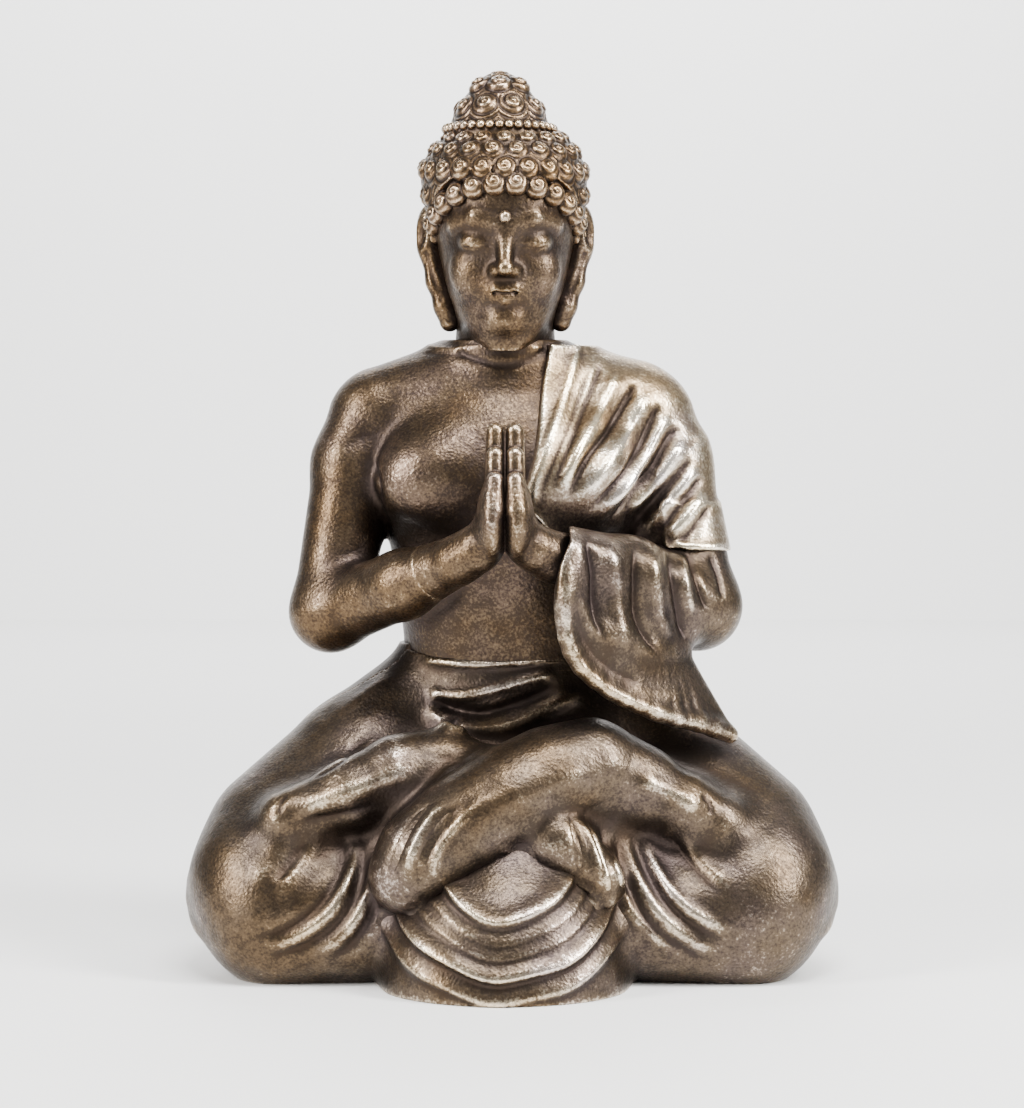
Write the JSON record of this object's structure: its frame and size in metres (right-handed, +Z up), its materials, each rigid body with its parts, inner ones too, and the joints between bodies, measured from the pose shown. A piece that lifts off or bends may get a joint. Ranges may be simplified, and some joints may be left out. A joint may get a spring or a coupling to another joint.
{
  "type": "buddha statue",
  "caption": "Seated Buddha with joined palms: hollow bronze figure cast in sections, pinned together and drawn onto a flat base by a tie rod.",
  "frame": {"origin": "middle of the footprint's bounding box, on the floor the statue rests on", "axes": "+Z up, the figure faces -Y, its own left hand is on the +X side"},
  "size_m": [0.5716, 0.3862, 0.8],
  "materials": {
    "bronze_skin": "dark brown patina, rubbed to gold on the high places, fine stipple",
    "bronze_robe": "dark brown patina, rubbed to gold and silver on the fold ridges",
    "bronze_hair": "dark brown patina, rubbed to gold on the curls",
    "steel": "plain zinc-plated hardware"
  },
  "bodies": {
    "root": {"head": "bronze_skin", "hair_cap": "bronze_hair", "crown": "bronze_hair", "right_ear": "bronze_skin", "left_ear": "bronze_skin", "forehead_stud": "bronze_skin", "torso": "bronze_skin", "robe_mantle": "bronze_robe", "right_upper_arm": "bronze_skin", "right_forearm": "bronze_skin", "right_hand": "bronze_skin", "left_upper_arm": "bronze_robe", "left_forearm": "bronze_robe", "left_hand": "bronze_skin", "hanging_sleeve": "bronze_robe", "seat": "bronze_robe", "right_leg": "bronze_robe", "left_leg": "bronze_robe", "crossed_shins": "bronze_robe", "pleated_hem": "bronze_robe", "base_plate": "steel", "base_screw_1": "steel", "base_screw_2": "steel", "base_screw_3": "steel", "base_screw_4": "steel", "base_screw_5": "steel", "tie_rod": "steel", "rod_washer": "steel", "rod_nut": "steel", "neck_boss": "steel", "crown_dowel": "steel", "right_shoulder_dowel": "steel", "right_elbow_dowel": "steel", "right_wrist_dowel": "steel", "left_shoulder_dowel": "steel", "left_elbow_dowel": "steel", "left_wrist_dowel": "steel"}
  },
  "joints": []
}
